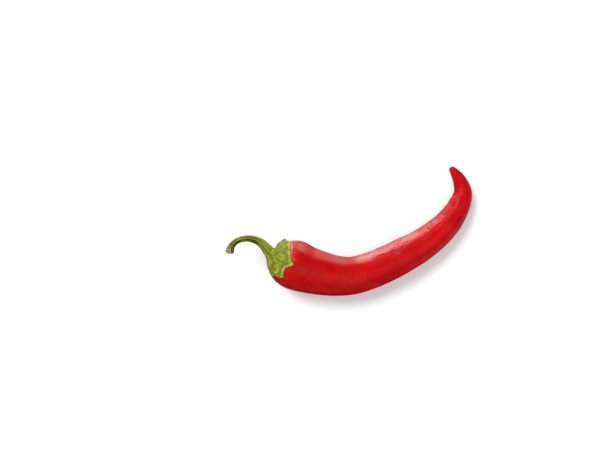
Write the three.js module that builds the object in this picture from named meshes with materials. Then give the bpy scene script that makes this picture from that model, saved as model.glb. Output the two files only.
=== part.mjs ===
// A fresh red chilli pepper as picked, lying on its side. It has three pieces: the tapering pod, which bends
// like a horn, the green calyx that caps the pod's shoulder and ends in pointed teeth, and the ribbed stalk.
// All three are lofted through rings along one backbone, from the stalk's cut end to the pod's tip.
// Units are millimetres and +Z is up. The chilli rests on z = 0, with the origin under its middle.

import * as THREE from "three";
import { LoftGeometry } from "three/addons/geometries/LoftGeometry.js";

// The backbone: points along the middle of the chilli. x and y are measured from the middle of the pod's
// shoulder, as seen from above, and z is the height over the table.
const STALK_LINE = [
  [-23.4, 3.1, 17.2],
  [-22.5, 6.1, 16.6],
  [-20.5, 8.35, 15.9],
  [-16.9, 9.7, 14.9],
  [-13.0, 9.5, 13.8],
  [-9.1, 7.65, 12.8],
  [-5.1, 3.4, 11.7],
];
const POD_LINE = [
  [0, 0.5, 10.9],
  [12.8, -4.8, 9.7],
  [30.3, -7.2, 7.95],
  [48.4, -1.3, 7.1],
  [66.4, 8.9, 6.15],
  [77.2, 19.3, 5.3],
  [82.0, 29.8, 5.1],
  [80.6, 35.8, 5.8],
  [76.4, 42.0, 7.2],
];

// Outlines: a distance along the backbone, then the radius there.
const POD_OUTLINE = [
  [-3.3, 1],
  [-3.0, 4.2],
  [-1.8, 7.1],
  [1.0, 9.8],
  [6.2, 11.2],
  [14, 10.4],
  [31, 8.7],
  [60, 7.7],
  [84, 5.8],
  [97, 4.15],
  [106, 2.5],
]; // from the pod's shoulder
const TIP_OUTLINE = [
  [-1.2, 1.3],
  [-0.3, 0.9],
  [0, 0.4],
]; // from the pod's far end
const CALYX_OUTLINE = [
  [-5.2, 3.5],
  [-4.8, 4.6],
  [-3.9, 6.4],
  [-2.3, 8.2],
]; // from the pod's shoulder
const STALK_OUTLINE = [
  [0, 1.5],
  [0.8, 1.9],
  [2.6, 1.6],
  [5.5, 1.3],
  [10.5, 1.25],
  [14.5, 1.5],
  [19, 1.85],
  [22.8, 2.25],
]; // from the stalk's cut end
const STALK_FOOT = [-5.5, 3.4]; // from the pod's shoulder

const SECTION_HEIGHT = 0.95; // the section's height over its width
const PIECE_GAP = 0.3; // between pieces that touch

// The calyx's teeth, and the stalk's ribs, which run into them: degrees from the top of the chilli, then how
// far each reaches over the pod past the calyx's edge.
const TEETH = [
  [3, 2.9],
  [50, 0.4],
  [98, 0.8],
  [154, 1.0],
  [206, 0.7],
  [262, 0.6],
  [322, 2.2],
];
const TOOTH_WIDTH = THREE.MathUtils.degToRad(13);
const EDGE_MEAN = -0.9; // the calyx's edge, past the shoulder
const EDGE_TILT = 0.9; // how much further the edge reaches on top than at the sides
const EDGE_THICKNESS = 0.5;
const RIB_HEIGHT = 0.08; // over the stalk's radius

const POD_RINGS = 60;
const POD_SIDES = 40;
const CALYX_RINGS = 9; // on each face
const CALYX_SIDES = 70;
const STALK_RINGS = 22;
const STALK_SIDES = 28;

const backbone = new THREE.CatmullRomCurve3(
  [...STALK_LINE, ...POD_LINE].map((point) => new THREE.Vector3(...point)),
);
backbone.arcLengthDivisions = 100 * (backbone.points.length - 1);
const backboneLength = backbone.getLength();
const shoulderArc = backbone.getLengths()[100 * STALK_LINE.length];
const podLength = backboneLength - shoulderArc;

// Points spaced evenly along a smooth outline, as {x: distance, y: radius}.
function outlinePoints(pairs, count) {
  const curve = new THREE.CatmullRomCurve3(pairs.map(([along, radius]) => new THREE.Vector3(along, radius, 0)));
  return curve.getSpacedPoints(count - 1);
}

const podOutline = [
  ...POD_OUTLINE,
  ...TIP_OUTLINE.map(([along, radius]) => [podLength + along, radius]),
];
const podSamples = outlinePoints(podOutline, 1200);

// The pod's radius at a distance along the backbone, read off its outline.
function podRadius(along) {
  const after = podSamples.findIndex((point) => point.x > along);
  const [low, high] = [podSamples[after - 1], podSamples[after]];
  return THREE.MathUtils.mapLinear(along, low.x, high.x, low.y, high.y);
}

// The sum of one bump at each tooth's angle, as high as reach(tooth) says.
function teethAt(angle, reach) {
  return TEETH.reduce((sum, tooth) => {
    const turn = angle - THREE.MathUtils.degToRad(tooth[0]);
    const away = Math.atan2(Math.sin(turn), Math.cos(turn)) / TOOTH_WIDTH;
    return sum + reach(tooth) * Math.exp(-away * away);
  }, 0);
}

// Where the calyx's edge lies along the backbone, at an angle round it.
function calyxEdge(angle) {
  return EDGE_MEAN + EDGE_TILT * Math.cos(angle) + teethAt(angle, (tooth) => tooth[1]);
}

// One ring round the backbone. place(angle) gives the distance along and the radius there. Angle 0 is the top.
// A point under the table is brought up to it, which gives the pod the flat patch that it rests on.
function ring(sides, place) {
  return Array.from({ length: sides }, (_, i) => {
    const angle = (-2 * Math.PI * i) / sides;
    const [along, radius] = place(angle);
    const share = THREE.MathUtils.clamp((shoulderArc + along) / backboneLength, 0, 1);
    const forward = backbone.getTangentAt(share);
    const side = new THREE.Vector3(0, 0, 1).cross(forward).normalize();
    const up = new THREE.Vector3().crossVectors(forward, side);
    const point = backbone
      .getPointAt(share)
      .addScaledVector(side, radius * Math.sin(angle))
      .addScaledVector(up, radius * SECTION_HEIGHT * Math.cos(angle));
    point.z = Math.max(point.z, 0);
    return point;
  });
}

function loft(rings, capEnd = true) {
  return new LoftGeometry(rings, { capStart: true, capEnd });
}

function podGeometry() {
  return loft(outlinePoints(podOutline, POD_RINGS).map(({ x, y }) => ring(POD_SIDES, () => [x, y])));
}

// A cup that follows the pod's shoulder: its outer face from the neck to the toothed edge, then its inner face.
function calyxGeometry() {
  const steps = Array.from({ length: CALYX_RINGS }, (_, i) => i / (CALYX_RINGS - 1));
  const back = CALYX_OUTLINE.at(-1)[0];
  const outer = outlinePoints(CALYX_OUTLINE, CALYX_RINGS).map(({ x, y }) => ring(CALYX_SIDES, () => [x, y]));
  const skirt = steps.slice(1).map((step) =>
    ring(CALYX_SIDES, (angle) => {
      const along = THREE.MathUtils.lerp(back, calyxEdge(angle), step);
      const [, neckRadius] = CALYX_OUTLINE.at(-1);
      const thickness = THREE.MathUtils.lerp(neckRadius - podRadius(back) - PIECE_GAP, EDGE_THICKNESS, step);
      return [along, podRadius(along) + PIECE_GAP + thickness];
    }),
  );
  const lining = steps.toReversed().map((step) =>
    ring(CALYX_SIDES, (angle) => {
      const along = THREE.MathUtils.lerp(back, calyxEdge(angle), step);
      return [along, podRadius(along) + PIECE_GAP];
    }),
  );
  const [podBack, podBackRadius] = POD_OUTLINE[0];
  const dome = [0.75, 0.5, 0.25].map((step) => {
    const along = THREE.MathUtils.lerp(podBack, back, step);
    return ring(CALYX_SIDES, () => [along - PIECE_GAP, podRadius(along)]);
  });
  const floor = [podBackRadius, 0].map((radius) => ring(CALYX_SIDES, () => [podBack - PIECE_GAP, radius]));
  return loft([...outer, ...skirt, ...lining, ...dome, ...floor], false);
}

function stalkGeometry() {
  const fromShoulder = STALK_OUTLINE.map(([along, radius]) => [along - shoulderArc, radius]);
  return loft(
    outlinePoints([...fromShoulder, STALK_FOOT], STALK_RINGS).map(({ x, y }) =>
      ring(STALK_SIDES, (angle) => [x, y * (1 + teethAt(angle, () => RIB_HEIGHT))]),
    ),
  );
}

function piece(name, geometry, color, roughness) {
  const mesh = new THREE.Mesh(geometry, new THREE.MeshStandardMaterial({ color, roughness, metalness: 0 }));
  mesh.name = name;
  return mesh;
}

const chilli = new THREE.Group();
chilli.add(piece("pod", podGeometry(), 0xc9141d, 0.28));
chilli.add(piece("calyx", calyxGeometry(), 0x8fa832, 0.55));
chilli.add(piece("stalk", stalkGeometry(), 0x74862e, 0.6));

const middle = new THREE.Box3().setFromObject(chilli).getCenter(new THREE.Vector3());
chilli.position.set(-middle.x, -middle.y, 0);

export default chilli;
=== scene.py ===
"""A fresh red chilli pepper, lying on its side on a pale floor.

The pod, the calyx and the stalk follow one backbone, as the solids of the frame do. Lengths are metres,
but the tables at the top are in millimetres. "Along" is a distance along the backbone from the pod's
shoulder, negative towards the stalk, and "round" an angle from the chilli's top, towards the inside of
its bend.
"""

import math

import bpy
import numpy as np
from bpy.props import FloatProperty, FloatVectorProperty, IntProperty, PointerProperty
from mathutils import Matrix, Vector, noise


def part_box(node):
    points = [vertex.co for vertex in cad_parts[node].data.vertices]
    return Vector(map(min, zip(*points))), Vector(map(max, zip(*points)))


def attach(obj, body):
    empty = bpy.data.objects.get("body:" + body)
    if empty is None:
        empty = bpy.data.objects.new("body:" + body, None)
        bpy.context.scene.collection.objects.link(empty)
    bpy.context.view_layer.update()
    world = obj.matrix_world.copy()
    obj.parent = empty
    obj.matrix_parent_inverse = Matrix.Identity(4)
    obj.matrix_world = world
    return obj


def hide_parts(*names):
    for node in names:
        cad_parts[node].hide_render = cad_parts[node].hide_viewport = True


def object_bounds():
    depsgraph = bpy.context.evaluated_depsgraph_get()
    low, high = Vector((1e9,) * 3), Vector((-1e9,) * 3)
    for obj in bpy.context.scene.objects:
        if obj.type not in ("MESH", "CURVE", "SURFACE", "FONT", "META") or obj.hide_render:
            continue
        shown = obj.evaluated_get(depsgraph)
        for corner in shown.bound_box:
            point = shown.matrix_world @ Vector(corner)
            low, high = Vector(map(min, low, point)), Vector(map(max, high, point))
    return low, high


bl_info = {
    "name": "Chilli Pepper",
    "version": (1, 0, 0),
    "blender": (4, 5, 0),
    "location": "3D View > Sidebar > Chilli",
    "description": "Builds a fresh red chilli pepper with its calyx and stalk",
    "category": "Add Mesh",
}

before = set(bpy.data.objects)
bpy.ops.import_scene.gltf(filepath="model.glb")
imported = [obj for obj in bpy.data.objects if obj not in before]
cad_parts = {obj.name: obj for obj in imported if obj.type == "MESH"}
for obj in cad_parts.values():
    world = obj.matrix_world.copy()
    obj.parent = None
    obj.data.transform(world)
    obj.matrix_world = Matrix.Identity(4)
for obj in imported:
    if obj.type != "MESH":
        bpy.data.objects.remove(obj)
CAD_LOW, CAD_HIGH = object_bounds()

MM = 0.001

# The backbone, as the solids have it: x and y from the middle of the pod's shoulder, z over the floor.
STALK_LINE = [
    (-23.4, 3.1, 17.2), (-22.5, 6.1, 16.6), (-20.5, 8.35, 15.9), (-16.9, 9.7, 14.9),
    (-13.0, 9.5, 13.8), (-9.1, 7.65, 12.8), (-5.1, 3.4, 11.7),
]
POD_LINE = [
    (0, 0.5, 10.9), (12.8, -4.8, 9.7), (30.3, -7.2, 7.95), (48.4, -1.3, 7.1), (66.4, 8.9, 6.15),
    (77.2, 19.3, 5.3), (82.0, 29.8, 5.1), (80.6, 35.8, 5.8), (76.4, 42.0, 7.2),
]

# Outlines: distance along and radius. The pod is a little fuller before its tip than its solid is.
POD_OUTLINE = [
    (-3.35, 0), (-3.3, 1), (-3.0, 4.2), (-1.8, 7.1), (1.0, 9.8), (6.2, 11.2),
    (14, 10.4), (31, 8.7), (60, 7.7), (84, 6.0), (97, 4.45), (106, 2.85),
]
TIP_OUTLINE = [(-1.2, 1.55), (-0.3, 1.15), (0.1, 0.7), (0.25, 0)]  # from the pod's far end
STALK_OUTLINE = [
    (0, 0), (0.1, 0.9), (0.3, 1.6), (0.8, 1.95), (2.6, 1.6), (5.5, 1.3),
    (10.5, 1.25), (14.5, 1.5), (19, 1.85), (22.8, 2.25), (25.2, 2.45),
]  # from the stalk's cut end
SECTION_HEIGHT = 0.95  # the section's height over its width
LINE_STEPS = 60  # points on a smooth line for each given one

# The calyx's outer face on the outside and on the inside of the pod's bend, from the stalk to the shoulder.
CALYX_OUTSIDE = [(-7.0, 2.35), (-5.6, 3.3), (-3.9, 5.7), (-1.9, 8.1)]
CALYX_INSIDE = [(-6.4, 2.3), (-5.2, 2.9), (-4.9, 4.5), (-4.6, 6.2), (-4.0, 7.7), (-2.7, 8.7)]
NECK = [(-9.3, -0.12), (-8.3, 0.02)]  # along, and how far the calyx's neck stands out of the stalk there
CALYX_LENGTH = 9 * MM  # from the start of the neck to about where the teeth begin
LINING_END = -3.3 * MM  # where the calyx's lining closes behind the pod

# The calyx's edge: degrees round, and distance along.
CALYX_EDGE = [
    (-170, -1.1), (-155, -1.7), (-138, -0.6), (-128, 0.7), (-115, -1), (-100, -1.3), (-88, -0.6),
    (-80, 0), (-72, -0.5), (-62, -0.8), (-53, -0.3), (-47, 0.9), (-42, 2.6), (-38, 3.1), (-33, 2.7),
    (-26, 2.2), (-19, 2), (-13, 2.3), (-8, 3), (-4, 3.8), (1, 4.6), (6, 3.2), (12, 2.1), (20, 1.4),
    (30, 0.6), (45, 0.1), (60, -0.3), (75, -0.5), (90, -0.9), (105, -1.2), (118, -0.6), (128, 0.9),
    (140, -0.5), (155, -1.6), (170, -1), (180, -0.1),
]

# The ribs of the stalk run on as the calyx's veins.
RIB_SHARPNESS = 1.6
RIB_MEAN = 0.4  # taken off the ribs' height, so that they don't thicken the stalk

# How finely the pieces are made.
POD_RINGS, POD_SIDES = 430, 181
STALK_RINGS, STALK_SIDES = 260, 141
CALYX_SIDES = 420
FACE_ROWS, SKIRT_ROWS, ROLL_ROWS, TUCK_ROWS, LINING_ROWS = 50, 40, 5, 3, 15
PATH_POINTS = 700
MERGE_DISTANCE = 0.002 * MM
EVEN_SPACING = 0.12  # the even share of the spacing of a tube's rings, which crowd towards its ends

# Colours that stay the same when the greens are changed.
RIM_HIGHLIGHT = (0.6, 0.6, 0.2)  # painted highlight along the calyx's edge
BROWN = (0.12, 0.07, 0.025)  # specks on the calyx
PITH = (0.62, 0.5, 0.2)  # pale pith and straw at the stalk's cut end
SPECK = (0.8, 0.12, 0.1)  # pale specks on the pod
PLEAT_HIGHLIGHT = (0.8, 0.16, 0.15)  # painted highlights on the pleats beside the calyx

# ---------------------------------------------------------------- the backbone


def new_object(name, data):
    """An object with this data, linked to the scene."""
    made = bpy.data.objects.new(name, data)
    bpy.context.scene.collection.objects.link(made)
    return made


def new_mesh(name, points, faces):
    mesh = bpy.data.meshes.new(name)
    mesh.from_pydata(points, [], faces)
    return mesh


def smooth_line(points, steps=LINE_STEPS):
    """Points on a smooth curve through the given ones: a centripetal Catmull-Rom curve."""
    points = np.array(points, float)
    padded = np.vstack([2 * points[0] - points[1], points, 2 * points[-1] - points[-2]])
    gaps = np.linalg.norm(np.diff(padded, axis=0), axis=1) ** 0.5
    t = np.linspace(0, 1, steps, endpoint=False)[:, None]
    stretches = []
    for i in range(len(points) - 1):
        before, start, end, after = padded[i : i + 4]
        gap_in, gap, gap_out = gaps[i : i + 3]
        leave = ((start - before) / gap_in - (end - before) / (gap_in + gap) + (end - start) / gap) * gap
        arrive = ((end - start) / gap - (after - start) / (gap + gap_out) + (after - end) / gap_out) * gap
        bend = 3 * (end - start) - 2 * leave - arrive
        twist = 2 * (start - end) + leave + arrive
        stretches.append(start + leave * t + bend * t**2 + twist * t**3)
    return np.vstack([*stretches, points[-1:]])


def outline(pairs):
    """A function that gives the radius at a distance along, from pairs of the two in millimetres."""
    along, radius = smooth_line(pairs).T * MM
    return lambda at: np.interp(at, along, radius)


class Backbone:
    """The line that all three pieces follow, placed so that the pod fits its solid's box."""

    def __init__(self):
        self.points = smooth_line([*STALK_LINE, *POD_LINE]) * MM
        lengths = np.linalg.norm(np.diff(self.points, axis=0), axis=1)
        self.along = np.concatenate([[0], np.cumsum(lengths)])
        self.along -= self.along[LINE_STEPS * len(STALK_LINE)]
        self.tangents = np.gradient(self.points, self.along, axis=0)
        self.cut_end = self.along[0]
        self.pod_end = self.along[-1]
        tip = [(self.pod_end / MM + along, radius) for along, radius in TIP_OUTLINE]
        self.pod_radius = outline([*POD_OUTLINE, *tip])
        stalk = [(self.cut_end / MM + along, radius) for along, radius in STALK_OUTLINE]
        self.stalk_radius = outline(stalk)
        self.fit_to(*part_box("pod"))

    def fit_to(self, low, high, samples=1500):
        """Shifts the line in x and y so that the pod round it is in the middle of its box."""
        along = np.linspace(POD_OUTLINE[0][0] * MM, self.pod_end, samples)
        swept = np.concatenate(self.edges(along))[:, :2]
        middle = (swept.min(0) + swept.max(0)) / 2
        self.points[:, :2] += np.array((low + high) / 2)[:2] - middle

    def edges(self, along, share=1.0):
        """The pod's two edges as seen from above, or lines at a share of the way out to them."""
        radius = share * self.pod_radius(along)
        return [self.place(along, angle, radius) for angle in (-math.pi / 2, math.pi / 2)]

    def place(self, along, angle, radius):
        """Points at a distance along, an angle round from the top and a radius."""
        along, angle, radius = np.broadcast_arrays(along, angle, radius)
        middle = np.stack([np.interp(along, self.along, axis) for axis in self.points.T], -1)
        forward = np.stack([np.interp(along, self.along, axis) for axis in self.tangents.T], -1)
        forward /= np.linalg.norm(forward, axis=-1, keepdims=True)
        side = np.cross((0, 0, 1), forward)
        side /= np.linalg.norm(side, axis=-1, keepdims=True)
        up = np.cross(forward, side)
        sideways = (radius * np.sin(angle))[..., None] * side
        return middle + sideways + (radius * SECTION_HEIGHT * np.cos(angle))[..., None] * up

    def path(self, name, start, end, radius):
        """A curve along the backbone, whose points hold a piece's radius and crowd towards its ends."""
        share = (1 - np.cos(np.linspace(0, math.pi, PATH_POINTS))) / 2
        along = start + (end - start) * share
        points = self.place(along, 0, 0)
        data = bpy.data.curves.new(name, "CURVE")
        data.dimensions = "3D"
        spline = data.splines.new("POLY")
        spline.points.add(PATH_POINTS - 1)
        spline.points.foreach_set("co", np.hstack([points, np.ones((PATH_POINTS, 1))]).ravel())
        spline.points.foreach_set("radius", np.maximum(radius(along), 0))
        return new_object(name, data)


# ---------------------------------------------------------------- node trees


def feed(tree, socket, value):
    """Links a field or a socket to an input, or sets the input to a plain value."""
    if isinstance(value, Field):
        tree.links.new(value.socket, socket)
    elif isinstance(value, bpy.types.NodeSocket):
        tree.links.new(value, socket)
    elif socket.type in ("VECTOR", "RGBA") and isinstance(value, (int, float)):
        socket.default_value = (value,) * len(socket.default_value)
    else:
        socket.default_value = value


def add(tree, kind, inputs=None, **settings):
    """Adds a node with these settings and inputs. An input is known by its name or its place."""
    node = tree.nodes.new(kind)
    for name, value in settings.items():
        setattr(node, name, value)
    for name, value in (inputs or {}).items():
        feed(tree, node.inputs[name], value)
    return node


class Field:
    """A node's output that can be added, multiplied and so on, each of which adds a node that does it."""

    def __init__(self, tree, socket):
        self.tree = tree
        self.socket = socket

    def do(self, operation, *others):
        values = [self, *others]
        vector = any(isinstance(v, Field) and v.socket.type == "VECTOR" for v in values)
        kind = "ShaderNodeVectorMath" if vector else "ShaderNodeMath"
        node = add(self.tree, kind, dict(enumerate(values)), operation=operation)
        return Field(self.tree, node.outputs[0])

    def __add__(self, other):
        return self.do("ADD", other)

    __radd__ = __add__

    def __sub__(self, other):
        return self.do("SUBTRACT", other)

    def __rsub__(self, other):
        return (self * -1) + other

    def __mul__(self, other):
        return self.do("MULTIPLY", other)

    def __truediv__(self, other):
        return self.do("DIVIDE", other)

    def __pow__(self, other):
        return self.do("POWER", other)

    def part(self, axis):
        """One coordinate of a vector: 0, 1 or 2."""
        return Field(self.tree, add(self.tree, "ShaderNodeSeparateXYZ", {0: self}).outputs[axis])

    def ramp(self, low, high, at_low=0.0, at_high=1.0):
        """Goes smoothly from at_low to at_high as the field goes from low to high."""
        inputs = {"Value": self, 1: low, 2: high, 3: at_low, 4: at_high}
        node = add(self.tree, "ShaderNodeMapRange", inputs, interpolation_type="SMOOTHSTEP")
        return Field(self.tree, node.outputs["Result"])

    def bell(self, middle, width):
        """1 at the middle, falling to nearly 0 at a width to either side."""
        away = (self - middle) / (width / 2)
        return (away * away * -1).do("EXPONENT")


def vector(tree, x, y, z):
    return Field(tree, add(tree, "ShaderNodeCombineXYZ", {0: x, 1: y, 2: z}).outputs[0])


def noise_field(tree, at, size, detail=2.0, roughness=0.5):
    """Soft noise from about 0 to 1, with lumps about as long as size."""
    inputs = {"Vector": at, "Scale": 1 / size, "Detail": detail, "Roughness": roughness}
    return Field(tree, add(tree, "ShaderNodeTexNoise", inputs).outputs[0])


def arrange(tree, width=200, height=180):
    """Lays a tree's nodes out in columns, from the output back to the inputs."""
    column = {node: 0 for node in tree.nodes}
    for _ in range(len(tree.nodes)):
        moved = False
        for link in tree.links:
            if column[link.from_node] <= column[link.to_node]:
                column[link.from_node] = column[link.to_node] + 1
                moved = True
        if not moved:
            break
    filled = {}
    for node, place in column.items():
        row = filled.get(place, 0)
        node.location = (-width * place, -height * row)
        filled[place] = row + 1


def floats(*names):
    """Number sockets with these names, for new_tree."""
    return [(name, "Float") for name in names]


def new_tree(name, kind, inputs, outputs):
    """A node tree with named inputs and outputs, given as (name, socket type, default)."""
    tree = bpy.data.node_groups.new(name, kind)
    for in_out, sockets in (("INPUT", inputs), ("OUTPUT", outputs)):
        for socket_name, socket_type, *default in sockets:
            kind_of_socket = "NodeSocket" + socket_type
            socket = tree.interface.new_socket(socket_name, in_out=in_out, socket_type=kind_of_socket)
            if default:
                socket.default_value = default[0]
    given = {s.name: Field(tree, s) for s in tree.nodes.new("NodeGroupInput").outputs if s.name}
    return tree, given, tree.nodes.new("NodeGroupOutput")


SWEEP_INPUTS = [("Path", "Object"), ("Start", "Float", 0.0), ("Rings", "Int", 100), ("Sides", "Int", 32)]


def sweep_group():
    """Geometry Nodes group: a tube round a path, with a ring for each point along it."""
    inputs = [*SWEEP_INPUTS, ("Section Height", "Float", SECTION_HEIGHT)]
    vectors = [(name, "Vector") for name in ("Middle", "Outward", "Forward", "Straight")]
    outputs = [("Mesh", "Geometry"), *vectors, *floats("Radius", "Angle", "Along")]
    tree, given, output = new_tree("Chilli Sweep", "GeometryNodeTree", inputs, outputs)
    size = {"Size X": 1.0, "Size Y": 1.0, "Vertices X": given["Rings"], "Vertices Y": given["Sides"]}
    grid = add(tree, "GeometryNodeMeshGrid", size)
    place = Field(tree, grid.outputs["UV Map"])
    across, around = place.part(0), place.part(1)
    eased = 0.5 - (across * math.pi).do("COSINE") * 0.5
    share = across * EVEN_SPACING + eased * (1 - EVEN_SPACING)
    path = add(tree, "GeometryNodeObjectInfo", {"Object": given["Path"]}).outputs["Geometry"]
    length = Field(tree, add(tree, "GeometryNodeCurveLength", {"Curve": path}).outputs[0])
    radius_in = add(tree, "GeometryNodeInputRadius").outputs[0]
    inputs = {"Curves": path, "Value": radius_in, "Factor": share}
    sample = add(tree, "GeometryNodeSampleCurve", inputs, mode="FACTOR", use_all_curves=True)
    radius = Field(tree, sample.outputs["Value"])
    forward = Field(tree, sample.outputs["Tangent"])
    side = vector(tree, 0.0, 0.0, 1.0).do("CROSS_PRODUCT", forward).do("NORMALIZE")
    up = forward.do("CROSS_PRODUCT", side)
    angle = (around - 0.5) * (2 * math.pi)
    sine, cosine = angle.do("SINE"), angle.do("COSINE")
    along = given["Start"] + share * length
    results = {
        "Mesh": grid.outputs["Mesh"],
        "Middle": sample.outputs["Position"],
        "Outward": side * sine + up * (cosine * given["Section Height"]),
        "Forward": forward,
        "Straight": vector(tree, sine * radius, cosine * radius, along),
        "Radius": radius,
        "Angle": angle,
        "Along": along,
    }
    for name, value in results.items():
        feed(tree, output.inputs[name], value)
    arrange(tree)
    return tree


def start_sweep(name, sizes):
    """A piece's own tree, with the sweep group in it. Returns it with its inputs, output and sweep."""
    inputs = [*SWEEP_INPUTS, ("Material", "Material"), *sizes]
    tree, given, output = new_tree(name, "GeometryNodeTree", inputs, [("Geometry", "Geometry")])
    group = bpy.data.node_groups.get("Chilli Sweep") or sweep_group()
    node = tree.nodes.new("GeometryNodeGroup")
    node.node_tree = group
    for socket, *_ in SWEEP_INPUTS:
        feed(tree, node.inputs[socket], given[socket])
    return tree, given, output, {s.name: Field(tree, s) for s in node.outputs}


def name_field(tree, mesh, name, value, kind):
    """Stores a field as an attribute that the material reads."""
    inputs = {"Geometry": mesh, "Name": name, "Value": value}
    return add(tree, "GeometryNodeStoreNamedAttribute", inputs, data_type=kind, domain="POINT").outputs[0]


def finish_sweep(tree, given, output, swept, points, rib=None):
    """Sets the points, keeps them off the floor, closes the seam and the ends, and gives the material."""
    softness = 0.15 * MM
    height = points.part(2)
    lifted = (height + (height * height + softness * softness).do("SQRT")) * 0.5
    rested = vector(tree, points.part(0), points.part(1), lifted)
    shape = add(tree, "GeometryNodeSetPosition", {"Geometry": swept["Mesh"], "Position": rested})
    named = name_field(tree, shape.outputs[0], "skin", swept["Straight"], "FLOAT_VECTOR")
    if rib is not None:
        named = name_field(tree, named, "rib", rib, "FLOAT")
    merged = add(tree, "GeometryNodeMergeByDistance", {"Geometry": named, "Distance": MERGE_DISTANCE})
    smooth = add(tree, "GeometryNodeSetShadeSmooth", {"Geometry": merged.outputs[0]})
    real = add(tree, "GeometryNodeRealizeInstances", {"Geometry": smooth.outputs[0]})
    inputs = {"Geometry": real.outputs[0], "Material": given["Material"]}
    painted = add(tree, "GeometryNodeSetMaterial", inputs)
    feed(tree, output.inputs[0], painted.outputs[0])
    arrange(tree)


def pod_tree():
    """Geometry Nodes tree of the pod: its lobes, uneven skin, pleats by the calyx and wrinkles."""
    sizes = floats("Length", "Shift", "Unevenness", "Pleat Depth", "Wrinkle Depth")
    tree, given, output, swept = start_sweep("Chilli Pod", sizes)
    straight, along, angle = swept["Straight"], swept["Along"], swept["Angle"]
    to_tip = given["Length"] - along
    inside_bend = angle.do("SINE").ramp(-0.2, 0.7)

    # Broad swellings and three faint lobes, which fade out at both ends.
    ends = along.ramp(-1 * MM, 8 * MM) * to_tip.ramp(0.5 * MM, 12 * MM)
    shifted = straight + vector(tree, 0.0, 0.0, given["Shift"])
    broad = noise_field(tree, shifted * (1, 1, 0.7), 15 * MM, 1.0) - 0.5
    small = noise_field(tree, shifted * (1, 1, 0.6), 5 * MM, 2.0) - 0.5
    lobes = (angle * 3 + 0.8).do("COSINE") * along.ramp(0, 45 * MM, 0.018, 0.006)
    swelling = along.bell(60 * MM, 9 * MM) * inside_bend

    # Pleats where the pod comes out of the calyx.
    pleats = noise_field(tree, straight * (1, 1, 0.1), 1.3 * MM, 2.0) - 0.5
    pleat_fade = along.ramp(2.5 * MM, 8 * MM, 1, 0) * along.ramp(-1.2 * MM, 1.2 * MM)

    # The squeezed skin inside the bend is streaky, with fine folds across it where the bend is tightest.
    streaky = noise_field(tree, straight * (1, 1, 0.4), 1.7 * MM, 2.0, 0.6) - 0.5
    folds = noise_field(tree, straight * (1, 1, 2.6), 2.4 * MM, 3.0, 0.6) - 0.5
    wrinkles = streaky + (folds - streaky * 0.5) * along.ramp(66 * MM, 90 * MM, 0.25, 0.6)
    wrinkle_fade = inside_bend * along.ramp(30 * MM, 58 * MM) * along.ramp(100 * MM, 108 * MM, 1, 0)
    crease = along.bell(given["Length"] - 15.5 * MM, 0.9 * MM) * (angle + 0.1).bell(0, 1.2)

    radius = swept["Radius"] * (1 + lobes * ends)
    radius = radius + given["Unevenness"] * (broad * 2 + small * 0.6) * ends
    radius = radius + given["Pleat Depth"] * (pleats * 2) * pleat_fade
    radius = radius + given["Unevenness"] * swelling
    radius = radius + given["Wrinkle Depth"] * ((wrinkles * 2) * wrinkle_fade - crease * 0.6)
    points = swept["Middle"] + swept["Outward"] * radius
    finish_sweep(tree, given, output, swept, points)
    return tree


def stalk_tree():
    """Geometry Nodes tree of the stalk: ribs that turn a little as they go, and a knobbly cut end."""
    sizes = [("Ribs", "Int"), *floats("Length", "Rib Height", "Knob Height")]
    tree, given, output, swept = start_sweep("Chilli Stalk", sizes)
    straight, angle = swept["Straight"], swept["Angle"]
    from_cut = swept["Along"] - given["Start"]
    drift = noise_field(tree, straight * (0.5, 0.5, 1), 8 * MM, 1.0) - 0.5
    drift = drift * from_cut.ramp(0, 20 * MM, 1.2, 0)
    ribs = ((angle * given["Ribs"] + drift).do("COSINE") * 0.5 + 0.5) ** RIB_SHARPNESS
    rib_fade = from_cut.ramp(0.4 * MM, 3 * MM)
    lumps = noise_field(tree, straight, 1.1 * MM, 2.0, 0.6) - 0.5
    knob_fade = from_cut.ramp(1.2 * MM, 4.5 * MM, 1, 0.12) * from_cut.ramp(0, 0.3 * MM)
    radius = swept["Radius"] + given["Rib Height"] * (ribs - RIB_MEAN) * rib_fade
    radius = radius + given["Knob Height"] * (lumps * 2) * knob_fade
    # The other end dives into the calyx, and closes there.
    to_end = given["Length"] - from_cut
    radius = radius * to_end.ramp(0, 0.7 * MM, 0.8, 1) * to_end.ramp(0, 0.06 * MM)
    # The cut face is rough.
    cut_face = from_cut.ramp(0.15 * MM, 0.5 * MM, 1, 0)
    pith = noise_field(tree, straight, 0.6 * MM, 2.0) - 0.5
    points = swept["Middle"] + swept["Outward"] * radius
    points = points + swept["Forward"] * (cut_face * pith * given["Knob Height"] * 1.6)
    finish_sweep(tree, given, output, swept, points, ribs)
    return tree


def run_tree(name, tree, values):
    """Runs a Geometry Nodes tree and returns its result as a plain mesh object."""
    piece = new_object(name, bpy.data.meshes.new(name))
    modifier = piece.modifiers.new(name, "NODES")
    modifier.node_group = tree
    for socket in tree.interface.items_tree:
        if socket.in_out == "INPUT":
            modifier[socket.identifier] = values[socket.name]
    depsgraph = bpy.context.evaluated_depsgraph_get()
    made = bpy.data.meshes.new_from_object(
        piece.evaluated_get(depsgraph), preserve_all_data_layers=True, depsgraph=depsgraph
    )
    made.name = name
    piece.modifiers.remove(modifier)
    piece.data = made
    return piece


# ---------------------------------------------------------------- the calyx


def calyx_edge(angle):
    """Distance along of the calyx's edge, at angles from -pi to pi round the chilli."""
    degrees = [(degree + turn, along) for turn in (-360, 0, 360) for degree, along in CALYX_EDGE]
    around, along = smooth_line(degrees, 12).T
    return np.interp(np.degrees(angle), around, along) * MM


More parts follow.
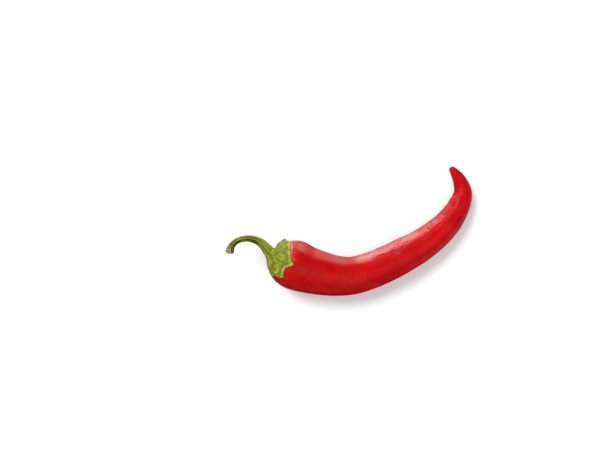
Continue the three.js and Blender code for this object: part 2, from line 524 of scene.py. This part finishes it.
def evenly(pairs, count):
    """Points spaced evenly on a smooth line through pairs."""
    line = smooth_line(pairs)
    reach = np.concatenate([[0], np.cumsum(np.linalg.norm(np.diff(line, axis=0), axis=1))])
    at = np.linspace(0, reach[-1], count)
    return np.stack([np.interp(at, reach, axis) for axis in line.T], -1) * MM


def shares(count):
    """Even steps up to 1, without the 0 that they start after."""
    return np.linspace(0, 1, count + 1)[1:]


def calyx_rows(bones, angle, edge_thickness):
    """The calyx as rows of (along, radius) arrays, from its neck over its edge and back under it."""
    neck = [(at, bones.stalk_radius(at * MM) / MM + proud) for at, proud in NECK]
    outside, inside = (evenly([*neck, *pairs], FACE_ROWS) for pairs in (CALYX_OUTSIDE, CALYX_INSIDE))
    inward = (0.5 + 0.5 * np.sin(angle))[:, None]
    edge = calyx_edge(angle)
    rows = [(1 - inward) * low + inward * high for low, high in zip(outside, inside)]

    def add_row(along, lift):
        rows.append(np.stack([along, bones.pod_radius(along) + lift], -1))

    # The skirt lies on the pod and thins out towards the edge.
    start, start_radius = rows[-1].T
    start_lift = start_radius - bones.pod_radius(start)
    for share in shares(SKIRT_ROWS):
        ease = 1 - (1 - share) ** 2
        add_row(start + (edge - start) * share, start_lift * (1 - ease) + edge_thickness * ease)
    # The edge is rounded.
    overhang = 0.35 * edge_thickness
    for share in shares(ROLL_ROWS):
        turn = share * math.pi / 2
        add_row(edge + overhang * math.sin(turn), edge_thickness * (0.45 + 0.55 * math.cos(turn)))
    # Under the edge the calyx goes into the pod a little, so that no gap shows.
    tucked, length = 0.05 * MM, 0.5 * MM
    for share in shares(TUCK_ROWS):
        add_row(edge + overhang - share * length, 0.45 * edge_thickness * (1 - share) - tucked * share)
    start = rows[-1][:, 0]
    for share in shares(LINING_ROWS):
        add_row(start + (LINING_END - start) * share, -tucked)
    return np.array(rows)


def closed_rows(name, points, first, last):
    """A closed mesh from rows of points round an axis, with a point at each end."""
    count, sides, _ = points.shape
    here = np.arange(sides)
    following = (here + 1) % sides
    faces = []
    for row in range(count - 1):
        low, high = row * sides, (row + 1) * sides
        faces += np.stack([low + here, high + here, high + following, low + following], -1).tolist()
    first_point, last_point = count * sides, count * sides + 1
    faces += [(first_point, int(a), int(b)) for a, b in zip(here, following)]
    end = (count - 1) * sides
    faces += [(last_point, int(end + b), int(end + a)) for a, b in zip(here, following)]
    mesh = new_mesh(name, np.vstack([points.reshape(-1, 3), first, last]).tolist(), faces)
    mesh.shade_smooth()
    return mesh


def store(mesh, name, kind, values):
    """Stores a value for each point as an attribute that the material reads."""
    attribute = mesh.attributes.new(name, kind, "POINT")
    attribute.data.foreach_set("vector" if kind == "FLOAT_VECTOR" else "value", np.ravel(values))


def calyx_relief(along, angle, straight, skirt, settings, stalk):
    """How far the calyx's points stand out of its smooth shape, and how much each is on a vein.

    straight holds the points as if the backbone was straight. skirt goes from 0 to 1 over the skirt's rows.
    """
    down = np.clip((along - NECK[0][0] * MM) / CALYX_LENGTH, 0, 1)
    outer = np.clip((1 - skirt) * SKIRT_ROWS / 4 + 1, 0, 1)
    veins = (0.5 + 0.5 * np.cos(angle * stalk.ribs)) ** (RIB_SHARPNESS + 4 * down)
    grown = np.clip(down * 3, 0, 1)
    height = stalk.rib_height * (1 - grown) + settings.vein_height * grown * (1.2 - 0.7 * down)
    lift = height * (veins - RIB_MEAN * (1 - grown)) * outer

    share = (outer * np.clip(down * 2.2 - 0.15, 0, 1) * np.clip((1 - skirt) / 0.5, 0.15, 1)).ravel()
    bumps = np.zeros(share.size)
    for i in np.flatnonzero(share):
        at = Vector(straight[i])
        bumps[i] = noise.fractal(at / (2.1 * MM), 1.0, 2.1, 2) + 0.22 * noise.noise(at / (0.6 * MM))
    lift = lift + settings.bump_height * (bumps * share).reshape(along.shape)
    # Where the calyx is thin its hollows stay shallow, so that the pod doesn't show through.
    return np.where(down >= 0.8, np.maximum(lift, -0.12 * settings.edge_thickness), lift), veins


def calyx_mesh(bones, settings, stalk):
    """The calyx, with the stalk's ribs running on as veins, and bumps all over its outer face."""
    angle = np.linspace(-math.pi, math.pi, CALYX_SIDES, endpoint=False)
    rows = calyx_rows(bones, angle, settings.edge_thickness)
    along, radius = rows[..., 0], rows[..., 1]
    ends = np.array([[0, 0, NECK[0][0] * MM], [0, 0, LINING_END]])
    end_points = bones.place(ends[:, 2], 0, 0)
    points = bones.place(along, angle[None, :], radius)
    mesh = closed_rows("chilli_calyx", points, *end_points)
    straight = np.stack([radius * np.sin(angle), radius * np.cos(angle), along], -1).reshape(-1, 3)
    skirt = ((np.arange(len(rows)) - FACE_ROWS) / SKIRT_ROWS)[:, None]
    lift, veins = calyx_relief(along, angle, straight, skirt, settings, stalk)

    normals = np.zeros(len(mesh.vertices) * 3)
    mesh.vertex_normals.foreach_get("vector", normals)
    normals = normals.reshape(-1, 3)[: along.size]
    lifted = points.reshape(-1, 3) + normals * lift.reshape(-1, 1)
    mesh.vertices.foreach_set("co", np.vstack([lifted, end_points]).ravel())
    # The rim mask marks the calyx's edge, where the pale painted highlight goes.
    rim = np.broadcast_to(np.clip((skirt - 0.7) / 0.3, 0, 1), along.shape)
    store(mesh, "skin", "FLOAT_VECTOR", np.vstack([straight, ends]))
    store(mesh, "rib", "FLOAT", np.append(veins, [0, 0]))
    store(mesh, "rim", "FLOAT", np.append(rim, [0, 0]))
    mesh.update()
    return mesh


# ---------------------------------------------------------------- materials


def mottle_group():
    """Shader group: soft blotches that follow the skin, with a contrast."""
    inputs = [("Vector", "Vector"), *floats("Size", "Stretch", "Low", "High", "Detail")]
    tree, given, output = new_tree("Chilli Mottle", "ShaderNodeTree", inputs, [("Mask", "Float")])
    stretched = given["Vector"] * vector(tree, 1.0, 1.0, given["Stretch"])
    inputs = {"Vector": stretched, "Scale": given["Size"] ** -1.0, "Detail": given["Detail"]}
    blotches = Field(tree, add(tree, "ShaderNodeTexNoise", inputs).outputs[0])
    feed(tree, output.inputs[0], blotches.ramp(given["Low"], given["High"]))
    arrange(tree)
    return tree


def freckle_group():
    """Shader group: small round spots scattered over the skin."""
    inputs = [("Vector", "Vector"), *floats("Spacing", "Size", "Softness")]
    tree, given, output = new_tree("Chilli Freckles", "ShaderNodeTree", inputs, [("Mask", "Float")])
    inputs = {"Vector": given["Vector"], "Scale": given["Spacing"] ** -1.0, "Randomness": 1.0}
    away = Field(tree, add(tree, "ShaderNodeTexVoronoi", inputs).outputs["Distance"])
    feed(tree, output.inputs[0], away.ramp(given["Size"] + given["Softness"], given["Size"]))
    arrange(tree)
    return tree


def group_mask(tree, builder, name, inputs):
    """Places a shader group, building it the first time, and returns its mask."""
    node = tree.nodes.new("ShaderNodeGroup")
    node.node_tree = bpy.data.node_groups.get(name) or builder()
    for socket, value in inputs.items():
        feed(tree, node.inputs[socket], value)
    return Field(tree, node.outputs["Mask"])


def mottle(tree, at, size, stretch=1.0, low=0.35, high=0.65, detail=3.0):
    """Blotches of a size. A stretch under 1 draws them out along the chilli."""
    inputs = {"Vector": at, "Size": size, "Stretch": stretch, "Low": low, "High": high, "Detail": detail}
    return group_mask(tree, mottle_group, "Chilli Mottle", inputs)


def freckles(tree, at, spacing, size, softness=0.1):
    """Round spots. Their size is a share of their spacing."""
    inputs = {"Vector": at, "Spacing": spacing, "Size": size, "Softness": softness}
    return group_mask(tree, freckle_group, "Chilli Freckles", inputs)


def blend(tree, share, *colours):
    """A colour between two, by a share from 0 to 1."""
    node = add(tree, "ShaderNodeMix", data_type="RGBA")
    feed(tree, node.inputs["Factor"], share)
    for socket, colour in zip([s for s in node.inputs if s.type == "RGBA"], colours):
        feed(tree, socket, (*colour, 1.0) if isinstance(colour, tuple) else colour)
    return Field(tree, next(s for s in node.outputs if s.type == "RGBA"))


def new_material(name, sockets):
    """A material with nodes, and these settings on its Principled BSDF."""
    material = bpy.data.materials.new(name)
    material.use_nodes = True
    tree = material.node_tree
    shader = tree.nodes["Principled BSDF"]
    for socket, value in sockets.items():
        shader.inputs[socket].default_value = value
    return material, tree, shader


def stored(tree, name, output="Fac"):
    """A value that was stored for each of the mesh's points."""
    return Field(tree, add(tree, "ShaderNodeAttribute", attribute_name=name).outputs[output])


def bump(tree, shader, height, distance):
    node = add(tree, "ShaderNodeBump", {"Height": height, "Distance": distance, "Strength": 1.0})
    feed(tree, shader.inputs["Normal"], node.outputs[0])


def pod_material(settings, bones):
    """Waxy red skin: deeper and brighter blotches, faint lengthwise streaks, pale specks and a pale tip,
    with painted shade away from the inside of the bend near the calyx and painted highlights on the pleats
    beside it.
    """
    gloss = {"Coat Weight": 0.2, "Coat Roughness": 0.1, "IOR": 1.45}
    material, tree, shader = new_material("Chilli pod skin", gloss)
    skin = stored(tree, "skin", "Vector")
    inward, along = skin.part(0), skin.part(2)
    red, deep, pale = (tuple(c) for c in (settings.red, settings.deep_red, settings.pale_tip))
    orange = (min(1, red[0] * 1.06), red[1] + 0.02, red[2])

    colour = blend(tree, mottle(tree, skin, 9 * MM, 0.6, 0.3, 0.7), red, deep)
    # Painted shade: over its first 60 mm the pod is a deeper red everywhere but on the side inside its
    # bend.
    painted_shade_belly = along.ramp(20 * MM, 60 * MM, 0.45, 0) * inward.ramp(3 * MM, 7.5 * MM, 1, -0.1)
    colour = blend(tree, painted_shade_belly, colour, deep)
    streaks = mottle(tree, skin, 0.9 * MM, 0.1, 0.45, 0.75, 2.0)
    colour = blend(tree, streaks * 0.22, colour, deep)
    # Painted highlights: pale streaks on the pleats within about 6 mm of the calyx, mostly on the side
    # inside the bend.
    pleats = mottle(tree, skin, 0.8 * MM, 0.15, 0.55, 0.66, 2.0) * along.ramp(2 * MM, 6 * MM, 1, 0)
    colour = blend(tree, pleats * inward.ramp(-4 * MM, 4 * MM) * 0.5, colour, PLEAT_HIGHLIGHT)
    by_calyx = along.ramp(2 * MM, 8 * MM, 0.55, 0) * mottle(tree, skin, 1.5 * MM, 0.25, 0.3, 0.7)
    colour = blend(tree, by_calyx, colour, orange)
    specks = freckles(tree, skin, 1.6 * MM, 0.08, 0.1) * mottle(tree, skin, 6 * MM)
    colour = blend(tree, specks * 0.16, colour, SPECK)
    nub = along.ramp(bones.pod_end - 1.1 * MM, bones.pod_end - 0.4 * MM)
    patchy = mottle(tree, skin, 0.6 * MM, 1.0, 0.3, 0.7)
    colour = blend(tree, nub * patchy * 0.45, colour, pale)
    feed(tree, shader.inputs["Base Color"], colour)
    feed(tree, shader.inputs["Roughness"], 0.19 + mottle(tree, skin, 5 * MM, 0.7) * 0.09)

    peel = noise_field(tree, skin, 0.45 * MM, 2.0) * 0.25
    creases = noise_field(tree, skin * (1, 1, 3.0), 1.8 * MM, 3.0, 0.6)
    bump(tree, shader, peel + creases * along.ramp(30 * MM, 60 * MM, 0.25, 1), 0.13 * MM)
    return material


def green_group():
    """Shader group: the greens of the stalk and the calyx, which run from one to the other without a seam.

    The stalk has light ribs over dark grooves, partly its own colour and partly painted highlight and
    shade, and painted light on the side inside its bend with painted shade on the other side. The calyx is
    light and dark in soft cells, with yellow patches and a painted highlight along its edge.
    """
    names = ("Ridge", "Groove", "Light", "Dark", "Yellow", "Pale")
    colours = [(name, "Color", (1, 1, 1, 1)) for name in names]
    inputs = [("Vector", "Vector"), *floats("Rib", "Rim"), *colours]
    outputs = [("Color", "Color"), ("Fibres", "Float")]
    tree, given, output = new_tree("Chilli Green", "ShaderNodeTree", inputs, outputs)
    skin, rib = given["Vector"], given["Rib"]
    inward, along = skin.part(0), skin.part(2)
    fibres = mottle(tree, skin, 0.45 * MM, 0.1, 0.3, 0.7, 3.0)

    # The stalk. Its ribs are light over darker grooves, partly its own colour and partly painted highlight
    # and shade; the side inside the bend is painted lighter and the other side darker, as painted light and
    # shade; and the end by the calyx is light.
    painted_light_and_shade = inward.ramp(-2.2 * MM, 2 * MM, -0.55, 0.35)
    lit = (rib.ramp(0.2, 1.0) * 0.65 + fibres * 0.35 + painted_light_and_shade).ramp(0.0, 1.0)
    stalk = blend(tree, lit, given["Groove"], given["Ridge"])
    stalk = blend(tree, mottle(tree, skin, 2.6 * MM, 0.5, 0.35, 0.7) * 0.25, stalk, given["Light"])
    young = along.ramp(-17 * MM, -10 * MM, 0, 0.4) * fibres.ramp(0, 1, 0.6, 1)
    stalk = blend(tree, young, stalk, given["Light"])

    # The calyx.
    cells = mottle(tree, skin, 1.2 * MM, 0.5, 0.32, 0.66)
    calyx = blend(tree, cells * 0.8 + rib * 0.2, given["Dark"], given["Light"])
    shade = mottle(tree, skin, 3.5 * MM, 0.8, 0.3, 0.6, 1.0)
    calyx = blend(tree, (1 - shade) * 0.55, calyx, given["Dark"])
    patches = mottle(tree, skin + 3 * MM, 1.8 * MM, 0.7, 0.53, 0.7, 2.0)
    calyx = blend(tree, patches * 0.75, calyx, given["Yellow"])
    dots = mottle(tree, skin, 0.6 * MM, 0.8, 0.54, 0.7, 1.0)
    calyx = blend(tree, dots * 0.75, calyx, given["Dark"])
    # A painted highlight: the calyx's edge is paler in soft patches.
    rim = given["Rim"] * mottle(tree, skin, 1.6 * MM, 1.0, 0.3, 0.6)
    calyx = blend(tree, rim * 0.45, calyx, given["Pale"])

    down = along.ramp(-9.5 * MM, -5.2 * MM)
    feed(tree, output.inputs["Color"], blend(tree, down, stalk, calyx))
    feed(tree, output.inputs["Fibres"], fibres * (1 - down))
    arrange(tree)
    return tree


def green_material(name, scene):
    """A satin green material for either piece. Returns it with its tree, shader, skin and green."""
    material, tree, shader = new_material(name, {"Specular IOR Level": 0.35})
    skin = stored(tree, "skin", "Vector")
    stalk, calyx = scene.chilli_stalk, scene.chilli_calyx
    colours = {
        "Ridge": stalk.ridge_green,
        "Groove": stalk.groove_green,
        "Light": calyx.light_green,
        "Dark": calyx.dark_green,
        "Yellow": calyx.yellow,
        "Pale": RIM_HIGHLIGHT,
    }
    node = tree.nodes.new("ShaderNodeGroup")
    node.node_tree = bpy.data.node_groups.get("Chilli Green") or green_group()
    feed(tree, node.inputs["Vector"], skin)
    for socket in ("Rib", "Rim"):
        feed(tree, node.inputs[socket], stored(tree, socket.lower()))
    for socket, colour in colours.items():
        feed(tree, node.inputs[socket], (*colour, 1.0))
    feed(tree, shader.inputs["Roughness"], 0.4 + mottle(tree, skin, 1.4 * MM) * 0.16)
    pores = noise_field(tree, skin, 0.5 * MM, 3.0, 0.55)
    bump(tree, shader, pores + Field(tree, node.outputs["Fibres"]) * 0.5, 0.12 * MM)
    return material, tree, shader, skin, Field(tree, node.outputs["Color"])


def calyx_material(scene):
    """Leathery green with light and dark cells, yellow patches and brown specks."""
    material, tree, shader, skin, colour = green_material("Chilli calyx green", scene)
    specks = freckles(tree, skin, 1.9 * MM, 0.13, 0.12) * mottle(tree, skin, 3 * MM, 1.0, 0.42, 0.58)
    colour = blend(tree, specks * skin.part(2).ramp(-7 * MM, -4 * MM) * 0.85, colour, BROWN)
    feed(tree, shader.inputs["Base Color"], colour)
    return material


def stalk_material(scene, bones):
    """Green ribs over darker grooves, drying to brown and straw at the cut end, whose pith is pale."""
    material, tree, shader, skin, colour = green_material("Chilli stalk green", scene)
    from_cut = skin.part(2) - bones.cut_end
    dried = from_cut.ramp(1 * MM, 7 * MM, 1, 0) * mottle(tree, skin, 1.2 * MM, 0.7, 0.38, 0.58)
    colour = blend(tree, dried, colour, tuple(scene.chilli_stalk.cut_brown))
    straw = mottle(tree, skin + 2 * MM, 0.9 * MM, 0.6, 0.48, 0.62)
    colour = blend(tree, from_cut.ramp(0.5 * MM, 4 * MM, 0.75, 0) * straw, colour, PITH)
    pith = from_cut.ramp(0.3 * MM, 0.9 * MM, 1, 0) * mottle(tree, skin, 0.8 * MM, 1.0, 0.42, 0.58)
    colour = blend(tree, pith, colour, PITH)
    feed(tree, shader.inputs["Base Color"], colour)
    return material


# ---------------------------------------------------------------- the stage


def floor_material(colour):
    """Pale matt board with the faintest mottling."""
    material, tree, shader = new_material("Pale floor", {"Roughness": 0.8, "Specular IOR Level": 0.2})
    at = Field(tree, add(tree, "ShaderNodeTexCoord").outputs["Object"])
    shade = tuple(0.97 * c for c in colour)
    clouds = noise_field(tree, at, 0.15, 3.0)
    feed(tree, shader.inputs["Base Color"], blend(tree, clouds, tuple(colour), shade))
    return material


def soft_sun(name, place, target, spread, strength):
    """Soft light, even over the whole floor, that doesn't show in the gloss. Its spread is in degrees."""
    lamp = bpy.data.lights.new(name, "SUN")
    lamp.angle = math.radians(spread)
    lamp.energy = strength
    light = new_object(name, lamp)
    light.location = place
    light.rotation_euler = (Vector(target) - light.location).to_track_quat("-Z", "Y").to_euler()
    light.visible_glossy = False


def glow_material(name, glow_over):
    """A glow whose strength varies over the object, as glow_over(x, z) gives it."""
    material, tree, _ = new_material(name, {})
    tree.nodes.clear()
    at = Field(tree, add(tree, "ShaderNodeTexCoord").outputs["Object"])
    glow = add(tree, "ShaderNodeEmission", {"Strength": glow_over(at.part(0), at.part(2))})
    output = tree.nodes.new("ShaderNodeOutputMaterial")
    tree.links.new(glow.outputs[0], output.inputs["Surface"])
    material.cycles.emission_sampling = "NONE"
    return material


def reflected_sheet(name, points, glow_over, faces=((0, 1, 2, 3),)):
    """A glowing sheet that only shows as the gloss on the chilli."""
    sheet = new_object(name, new_mesh(name, points, faces))
    sheet.data.materials.append(glow_material("Glow of " + name, glow_over))
    for ray in ("camera", "diffuse", "transmission", "shadow"):
        setattr(sheet, "visible_" + ray, False)


def contact_shade(bones, count=80):
    """A dark strip under the pod, so that its underside reflects no window where it meets the floor."""
    points = np.concatenate(bones.edges(np.linspace(-3 * MM, bones.pod_end, count), 0.9))
    points[:, 2] = -0.3 * MM
    faces = [(i, i + 1, count + i + 1, count + i) for i in range(count - 1)]
    reflected_sheet("contact_shade", points.tolist(), lambda x, z: 0.0, faces)


def window_glow(across, up):
    """The window is bright low down, brightest left of its middle, and fades at its ends."""
    everywhere = up.ramp(0.03, 0.34, 1.15, 0) * up.ramp(-0.9, -0.2, 0.35, 1)
    everywhere = everywhere * across.ramp(0.1, 1.0, 1, 0) * across.ramp(-1.3, -0.9)
    brightest = across.bell(-0.2, 0.16) * up.ramp(0.1, 0.6, 1, 0) * up.ramp(-0.6, -0.1, 0.15, 1)
    right = across.bell(0.28, 0.3) * up.ramp(0.1, 0.36, 1, 0) * up.ramp(-0.6, -0.1, 0.3, 1)
    return everywhere + brightest * 9 + right * 0.9


def studio_world(power):
    """Pale all round, brighter where the camera sees it. It leaves the gloss to the window."""
    world = bpy.data.worlds.new("studio")
    world.use_nodes = True
    tree = world.node_tree
    background = tree.nodes["Background"]
    seen = Field(tree, add(tree, "ShaderNodeLightPath").outputs["Is Camera Ray"])
    background.inputs["Color"].default_value = (0.95, 0.97, 1.0, 1)
    feed(tree, background.inputs["Strength"], 0.42 * power + seen * 0.5)
    world.cycles_visibility.glossy = False
    return world


# ---------------------------------------------------------------- the add-on


def colour_property(name, description, default):
    limits = {"min": 0, "max": 1, "size": 3, "subtype": "COLOR"}
    return FloatVectorProperty(name=name, description=description, default=default, **limits)


def length_property(name, description, default):
    limits = {"min": 0, "unit": "LENGTH", "precision": 5}
    return FloatProperty(name=name, description=description, default=default, **limits)


class ChilliPodSettings(bpy.types.PropertyGroup):
    """Sizes and colours of the pod."""

    shift: length_property("Shift", "How far the swellings slide along the pod, for another chilli", 0.0)
    unevenness: length_property("Unevenness", "Height of the skin's broad swellings", 0.28 * MM)
    pleat_depth: length_property("Pleats", "Depth of the pleats beside the calyx", 0.4 * MM)
    wrinkle_depth: length_property("Wrinkles", "Depth of the wrinkles inside the bend", 0.38 * MM)
    red: colour_property("Red", "Bright skin", (0.5, 0.0006, 0.0035))
    deep_red: colour_property("Deep Red", "Darker blotches and streaks", (0.37, 0.0012, 0.002))
    pale_tip: colour_property("Tip", "The dry nub at the tip", (0.6, 0.02, 0.03))


class ChilliCalyxSettings(bpy.types.PropertyGroup):
    """Sizes and colours of the calyx."""

    edge_thickness: length_property("Edge", "Thickness of the calyx at its edge", 0.6 * MM)
    vein_height: length_property("Veins", "Height of the veins that run to the teeth", 0.3 * MM)
    bump_height: length_property("Bumps", "Height of the bumps between the veins", 0.42 * MM)
    light_green: colour_property("Light Green", "The raised parts", (0.31, 0.33, 0.016))
    dark_green: colour_property("Dark Green", "The hollows", (0.075, 0.105, 0.008))
    yellow: colour_property("Yellow", "The yellow patches", (0.48, 0.4, 0.035))


class ChilliStalkSettings(bpy.types.PropertyGroup):
    """Sizes and colours of the stalk."""

    ribs: IntProperty(name="Ribs", description="Ribs along the stalk", default=7, min=3, max=12)
    rib_height: length_property("Rib Height", "Height of the ribs", 0.3 * MM)
    knob_height: length_property("Knobs", "Height of the lumps at the cut end", 0.6 * MM)
    # Besides the stalk's own greens, the ridge green holds a painted highlight on the ribs and the groove
    # green painted shade between them.
    ridge_green: colour_property("Ridges", "Green of the ribs", (0.23, 0.22, 0.016))
    groove_green: colour_property("Grooves", "Green between the ribs", (0.02, 0.022, 0.002))
    cut_brown: colour_property("Cut End", "Brown of the dried end", (0.06, 0.042, 0.014))


class ChilliStageSettings(bpy.types.PropertyGroup):
    """The floor, the camera and the light."""

    floor: colour_property("Floor", "Colour of the floor", (0.93, 0.93, 0.93))
    lens: FloatProperty(name="Lens", description="In millimetres", default=100, min=20, max=200)
    distance: length_property("Distance", "From the camera down to the chilli's middle", 0.75)
    light: FloatProperty(name="Light", description="Strength of all the lamps", default=1.0, min=0)


def keep_piece(piece, node):
    """Makes a finished piece stand for its solid."""
    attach(piece, "root")
    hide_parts(node)


class CHILLI_OT_pod(bpy.types.Operator):
    """Build the pod along the backbone, with its uneven, pleated skin"""

    bl_idname = "chilli.pod"
    bl_label = "Pod"

    def execute(self, context):
        settings = context.scene.chilli_pod
        bones = Backbone()
        start = POD_OUTLINE[0][0] * MM
        end = bones.pod_end + TIP_OUTLINE[-1][0] * MM
        path = bones.path("pod_path", start, end, bones.pod_radius)
        values = {
            "Path": path,
            "Start": start,
            "Rings": POD_RINGS,
            "Sides": POD_SIDES,
            "Material": pod_material(settings, bones),
            "Length": end,
            "Shift": settings.shift,
            "Unevenness": settings.unevenness,
            "Pleat Depth": settings.pleat_depth,
            "Wrinkle Depth": settings.wrinkle_depth,
        }
        piece = run_tree("chilli_pod", pod_tree(), values)
        bpy.data.objects.remove(path)
        keep_piece(piece, "pod")
        return {"FINISHED"}


class CHILLI_OT_calyx(bpy.types.Operator):
    """Build the calyx on the pod's shoulder, with its teeth, veins and bumps"""

    bl_idname = "chilli.calyx"
    bl_label = "Calyx"

    def execute(self, context):
        settings = context.scene.chilli_calyx
        mesh = calyx_mesh(Backbone(), settings, context.scene.chilli_stalk)
        mesh.materials.append(calyx_material(context.scene))
        keep_piece(new_object("chilli_calyx", mesh), "calyx")
        return {"FINISHED"}


class CHILLI_OT_stalk(bpy.types.Operator):
    """Build the ribbed stalk, from its cut end to the calyx"""

    bl_idname = "chilli.stalk"
    bl_label = "Stalk"

    def execute(self, context):
        settings = context.scene.chilli_stalk
        bones = Backbone()
        end = (NECK[1][0] + 0.5) * MM
        path = bones.path("stalk_path", bones.cut_end, end, bones.stalk_radius)
        values = {
            "Path": path,
            "Start": bones.cut_end,
            "Rings": STALK_RINGS,
            "Sides": STALK_SIDES,
            "Material": stalk_material(context.scene, bones),
            "Length": end - bones.cut_end,
            "Ribs": settings.ribs,
            "Rib Height": settings.rib_height,
            "Knob Height": settings.knob_height,
        }
        piece = run_tree("chilli_stalk", stalk_tree(), values)
        bpy.data.objects.remove(path)
        keep_piece(piece, "stalk")
        return {"FINISHED"}


class CHILLI_OT_stage(bpy.types.Operator):
    """Add the floor, the camera above and the soft light"""

    bl_idname = "chilli.stage"
    bl_label = "Stage"

    def execute(self, context):
        settings = context.scene.chilli_stage
        middle = (CAD_LOW + CAD_HIGH) / 2
        self.add_floor(settings)
        self.add_camera(settings, middle)
        self.add_light(settings.light, (middle.x, middle.y, 0))
        context.scene.view_settings.view_transform = "Standard"
        return {"FINISHED"}

    def add_floor(self, settings, reach=6.0):
        corners = [(-reach, -reach, 0), (reach, -reach, 0), (reach, reach, 0), (-reach, reach, 0)]
        floor = new_object("floor", new_mesh("floor", corners, [(0, 1, 2, 3)]))
        floor.data.materials.append(floor_material(settings.floor))
        floor.visible_glossy = False

    def add_camera(self, settings, middle):
        data = bpy.data.cameras.new("camera")
        data.lens = settings.lens
        data.sensor_width = 36
        camera = new_object("camera", data)
        # The chilli lies right of the view's middle and a little below it.
        right, below = 22.35 * MM, 2.7 * MM
        camera.location = (middle.x - right, middle.y + below, middle.z + settings.distance)
        bpy.context.scene.camera = camera

    def add_light(self, power, target):
        soft_sun("key", (-0.46, 0.5, 0.75), target, 36, 3.1 * power)
        soft_sun("fill", (0.4, -0.4, 0.95), target, 60, 1.2 * power)
        back, left, right, under, top = 0.75, -1.3, 1.0, -2.0, 0.7
        corners = [(left, back, under), (right, back, under), (right, back, top), (left, back, top)]
        reflected_sheet("window", corners, lambda x, z: window_glow(x, z) * power)
        left, right, near, far, height = -0.7, -0.15, 0.1, 0.5, 0.57
        corners = [(right, near, height), (right, far, height), (left, far, height), (left, near, height)]
        reflected_sheet("side_panel", corners, lambda x, z: 1.8 * power)
        right, near, far, under, top = 0.75, -0.9, 0.5, -1.0, 0.05
        corners = [(right, near, under), (right, far, under), (right, far, top), (right, near, top)]
        reflected_sheet("edge_panel", corners, lambda x, z: 0.22 * power)
        contact_shade(Backbone())
        bpy.context.scene.world = studio_world(power)


class CHILLI_PT_panel(bpy.types.Panel):
    """Lists the chilli's pieces and their settings"""

    bl_idname = "CHILLI_PT_panel"
    bl_label = "Chilli Pepper"
    bl_space_type = "VIEW_3D"
    bl_region_type = "UI"
    bl_category = "Chilli"

    def draw(self, context):
        for operator, group in OPERATORS:
            box = self.layout.box()
            box.operator(operator.bl_idname)
            settings = getattr(context.scene, group)
            for name in settings.__annotations__:
                box.prop(settings, name)


SETTINGS = {
    "chilli_pod": ChilliPodSettings,
    "chilli_calyx": ChilliCalyxSettings,
    "chilli_stalk": ChilliStalkSettings,
    "chilli_stage": ChilliStageSettings,
}
OPERATORS = [
    (CHILLI_OT_pod, "chilli_pod"),
    (CHILLI_OT_calyx, "chilli_calyx"),
    (CHILLI_OT_stalk, "chilli_stalk"),
    (CHILLI_OT_stage, "chilli_stage"),
]
CLASSES = [*SETTINGS.values(), *(operator for operator, _ in OPERATORS), CHILLI_PT_panel]


def register():
    for cls in CLASSES:
        bpy.utils.register_class(cls)
    for name, group in SETTINGS.items():
        setattr(bpy.types.Scene, name, PointerProperty(type=group))


def unregister():
    for name in SETTINGS:
        delattr(bpy.types.Scene, name)
    for cls in reversed(CLASSES):
        bpy.utils.unregister_class(cls)


def main():
    register()
    bpy.ops.chilli.pod()
    bpy.ops.chilli.calyx()
    bpy.ops.chilli.stalk()
    bpy.ops.chilli.stage()


if __name__ == "__main__":
    main()
